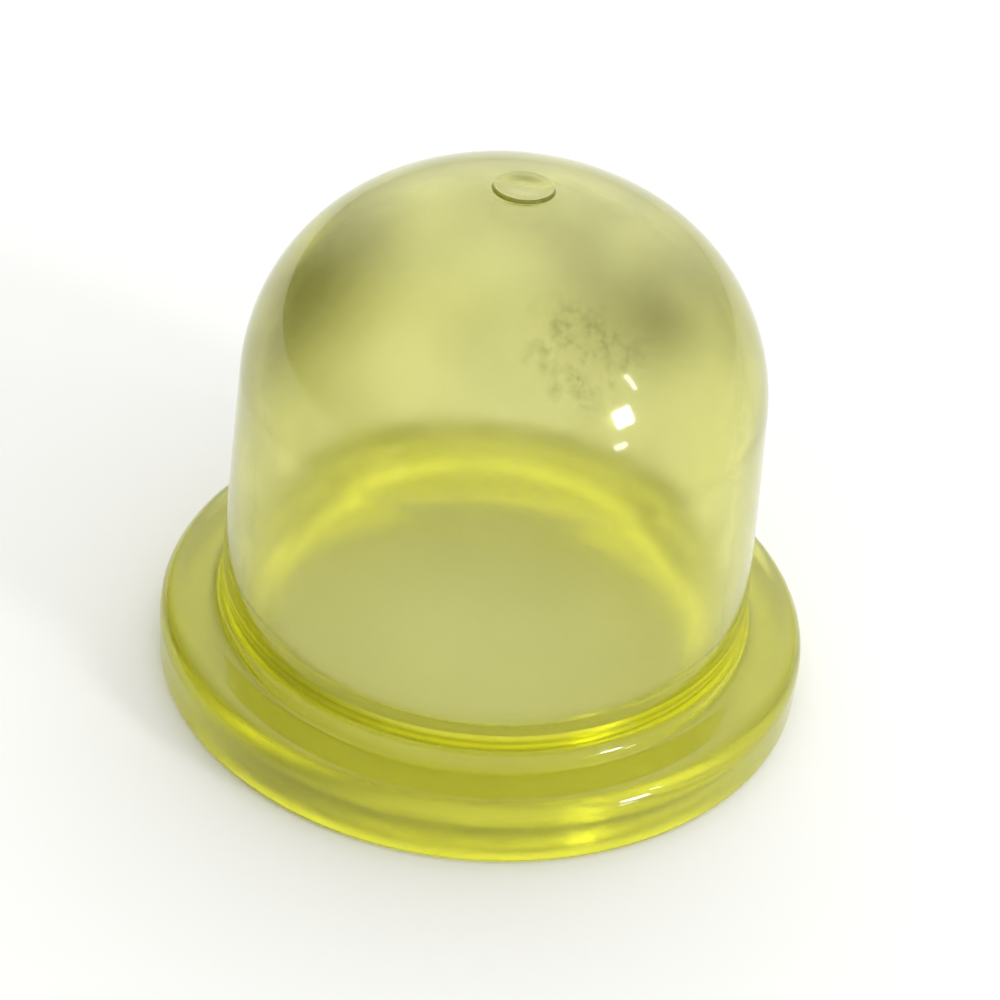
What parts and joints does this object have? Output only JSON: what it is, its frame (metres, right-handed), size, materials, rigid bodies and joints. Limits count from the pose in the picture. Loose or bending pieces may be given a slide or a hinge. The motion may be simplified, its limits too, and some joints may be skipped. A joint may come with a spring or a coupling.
{
  "type": "primer bulb",
  "caption": "Clear yellow squeeze dome with a round flange: a small engine's fuel primer, pressed to draw fuel through the carburettor.",
  "frame": {"origin": "centre of the flange's flat sealing face, on the dome's axis", "axes": "+Z along the dome's axis, from the sealing face towards the crown that the thumb presses; X and Y lie in the sealing face, and no direction in it differs from another"},
  "size_m": [0.022, 0.022, 0.0179],
  "materials": {
    "clear_yellow_polyurethane": "gloss"
  },
  "bodies": {
    "root": {"bulb": "clear_yellow_polyurethane"}
  },
  "joints": []
}
